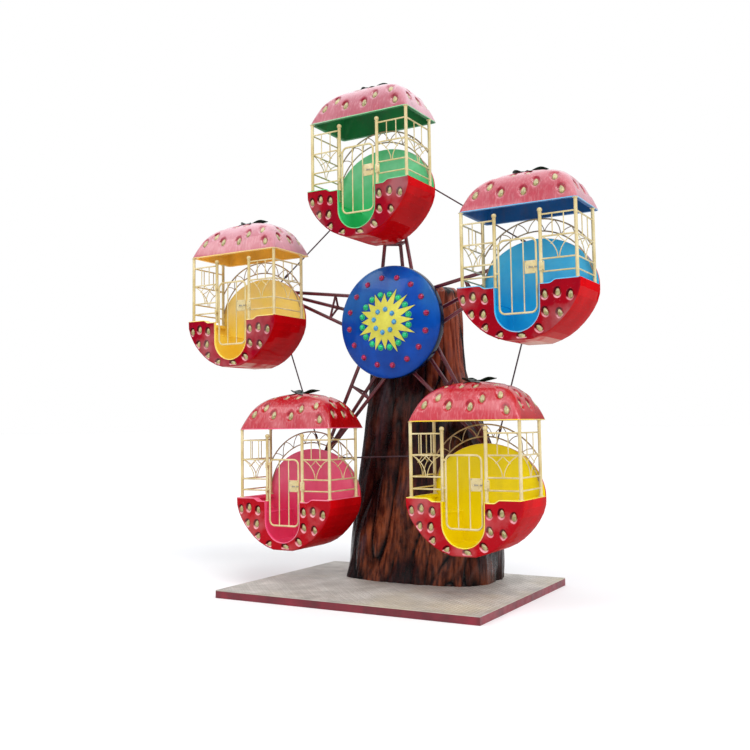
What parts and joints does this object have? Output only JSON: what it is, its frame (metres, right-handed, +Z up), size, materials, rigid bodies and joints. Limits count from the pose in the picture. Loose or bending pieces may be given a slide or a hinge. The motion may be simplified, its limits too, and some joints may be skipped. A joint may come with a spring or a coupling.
{
  "type": "small ferris wheel",
  "caption": "Playground ferris wheel with strawberry shaped cabins on tripod arms, a domed hub disc with a star, and a tree trunk tower on a tread plate platform.",
  "frame": {"origin": "centre of the platform's underside, on the floor", "axes": "+Z up, -Y towards the front, where the disc and the gates face, +X to the right seen from the front; the wheel turns about Y"},
  "size_m": [4.5535, 2.226, 5.3337],
  "materials": {
    "edge_paint": "worn dark red paint",
    "tread_plate": "raised tread pattern, dull",
    "trunk_shell": "moulded bark, glossy brown",
    "bearing_steel": "dark grey paint",
    "disc_blue": "high gloss",
    "star_yellow": "satin",
    "arm_paint": "worn dark red paint",
    "rod_steel": "dark paint",
    "tub_red": "high gloss",
    "roof_red": "high gloss, faded on the front",
    "cream_enamel": "gloss cream paint",
    "leaf_green": "gloss"
  },
  "bodies": {
    "tower": {"platform_frame": "edge_paint", "deck_plate": "tread_plate", "trunk_tower": "trunk_shell", "axle_housing": "bearing_steel"},
    "wheel": {"hub_drum": "bearing_steel", "hub_disc": "disc_blue", "hub_star": "star_yellow", "arm_1": "arm_paint", "arm_2": "arm_paint", "arm_3": "arm_paint", "arm_4": "arm_paint", "arm_5": "arm_paint", "tie_rod_1": "rod_steel", "tie_rod_2": "rod_steel", "tie_rod_3": "rod_steel", "tie_rod_4": "rod_steel", "tie_rod_5": "rod_steel"},
    "cabin_1": {"tub_1": "tub_red", "cage_left_1": "cream_enamel", "cage_right_1": "cream_enamel", "cage_back_1": "cream_enamel", "roof_1": "roof_red", "leaf_1": "leaf_green"},
    "door_1": {"gate_1": "cream_enamel"},
    "cabin_2": {"tub_2": "tub_red", "cage_left_2": "cream_enamel", "cage_right_2": "cream_enamel", "cage_back_2": "cream_enamel", "roof_2": "roof_red", "leaf_2": "leaf_green"},
    "door_2": {"gate_2": "cream_enamel"},
    "cabin_3": {"tub_3": "tub_red", "cage_left_3": "cream_enamel", "cage_right_3": "cream_enamel", "cage_back_3": "cream_enamel", "roof_3": "roof_red", "leaf_3": "leaf_green"},
    "door_3": {"gate_3": "cream_enamel"},
    "cabin_4": {"tub_4": "tub_red", "cage_left_4": "cream_enamel", "cage_right_4": "cream_enamel", "cage_back_4": "cream_enamel", "roof_4": "roof_red", "leaf_4": "leaf_green"},
    "door_4": {"gate_4": "cream_enamel"},
    "cabin_5": {"tub_5": "tub_red", "cage_left_5": "cream_enamel", "cage_right_5": "cream_enamel", "cage_back_5": "cream_enamel", "roof_5": "roof_red", "leaf_5": "leaf_green"},
    "door_5": {"gate_5": "cream_enamel"}
  },
  "joints": [
    {"name": "wheel_spin", "type": "hinge", "parent": "tower", "child": "wheel", "pos_m": [0, 0.49, 2.81], "axis": [0, 1, 0], "continuous": true},
    {"name": "cabin_1_pivot", "type": "hinge", "parent": "wheel", "child": "cabin_1", "pos_m": [-0.04607, 0.135, 4.5694], "axis": [0, 1, 0], "continuous": true},
    {"name": "gate_1_hinge", "type": "hinge", "parent": "cabin_1", "child": "door_1", "pos_m": [-0.24607, -0.604, 4.4694], "axis": [0, 0, -1], "range_deg": [0, 100]},
    {"name": "cabin_2_pivot", "type": "hinge", "parent": "wheel", "child": "cabin_2", "pos_m": [1.65905, 0.135, 3.3975], "axis": [0, 1, 0], "continuous": true},
    {"name": "gate_2_hinge", "type": "hinge", "parent": "cabin_2", "child": "door_2", "pos_m": [1.45905, -0.604, 3.2975], "axis": [0, 0, -1], "range_deg": [0, 100]},
    {"name": "cabin_3_pivot", "type": "hinge", "parent": "wheel", "child": "cabin_3", "pos_m": [1.07142, 0.135, 1.4137], "axis": [0, 1, 0], "continuous": true},
    {"name": "gate_3_hinge", "type": "hinge", "parent": "cabin_3", "child": "door_3", "pos_m": [0.87142, -0.604, 1.3137], "axis": [0, 0, -1], "range_deg": [0, 100]},
    {"name": "cabin_4_pivot", "type": "hinge", "parent": "wheel", "child": "cabin_4", "pos_m": [-0.99687, 0.135, 1.35954], "axis": [0, 1, 0], "continuous": true},
    {"name": "gate_4_hinge", "type": "hinge", "parent": "cabin_4", "child": "door_4", "pos_m": [-1.19687, -0.604, 1.25954], "axis": [0, 0, -1], "range_deg": [0, 100]},
    {"name": "cabin_5_pivot", "type": "hinge", "parent": "wheel", "child": "cabin_5", "pos_m": [-1.68752, 0.135, 3.30987], "axis": [0, 1, 0], "continuous": true},
    {"name": "gate_5_hinge", "type": "hinge", "parent": "cabin_5", "child": "door_5", "pos_m": [-1.88752, -0.604, 3.20987], "axis": [0, 0, -1], "range_deg": [0, 100]}
  ],
  "couplings": [
    {"joint": "cabin_1_pivot", "follows": "wheel_spin", "ratio": -1},
    {"joint": "cabin_2_pivot", "follows": "wheel_spin", "ratio": -1},
    {"joint": "cabin_3_pivot", "follows": "wheel_spin", "ratio": -1},
    {"joint": "cabin_4_pivot", "follows": "wheel_spin", "ratio": -1},
    {"joint": "cabin_5_pivot", "follows": "wheel_spin", "ratio": -1}
  ]
}
